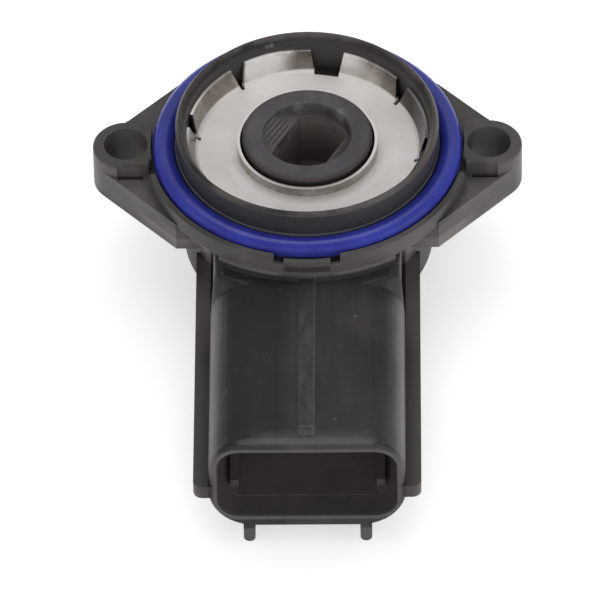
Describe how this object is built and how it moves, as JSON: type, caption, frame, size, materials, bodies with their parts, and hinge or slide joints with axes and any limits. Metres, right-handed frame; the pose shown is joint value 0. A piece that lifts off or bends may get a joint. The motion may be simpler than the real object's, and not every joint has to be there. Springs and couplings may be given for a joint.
{
  "type": "throttle position sensor",
  "caption": "Rotary throttle position sensor: black housing with screw ears, sealing ring, steel retainer, sprung rotor with a double-D socket and a moulded connector socket.",
  "frame": {"origin": "the rotor's axis on the plane of the two ear faces, midway between the screw holes", "axes": "+Z out of the sealing face towards the throttle body, along the rotor's axis; X through the two screw holes; the connector socket opens towards -Y"},
  "size_m": [0.052, 0.0665, 0.0241],
  "materials": {
    "black_moulding": "satin",
    "rotor_moulding": "matte",
    "blue_rubber": "smooth",
    "pressed_steel": "satin",
    "spring_steel": "satin",
    "spring_bronze": "satin",
    "board": "matte",
    "carbon_print": "matte",
    "silver_print": "matte",
    "tinned_terminal": "satin",
    "solder": "bright"
  },
  "bodies": {
    "housing_body": {"housing": "black_moulding", "o_ring": "blue_rubber", "retainer_plate": "pressed_steel", "wave_washer": "spring_steel", "return_spring": "spring_steel", "element_board": "board", "resistor_track": "carbon_print", "conductor_track": "silver_print", "terminal_supply": "tinned_terminal", "terminal_signal": "tinned_terminal", "terminal_ground": "tinned_terminal", "solder_joints": "solder"},
    "rotor_body": {"rotor": "rotor_moulding", "wiper": "spring_bronze"}
  },
  "joints": [
    {"name": "rotor_turn", "type": "hinge", "parent": "housing_body", "child": "rotor_body", "pos_m": [0, 0, 0], "axis": [0, 0, 1], "range_deg": [0, 105], "stiffness_Nm_per_rad": 0.006, "springref_deg": -40.11, "deforming": ["return_spring"]}
  ]
}
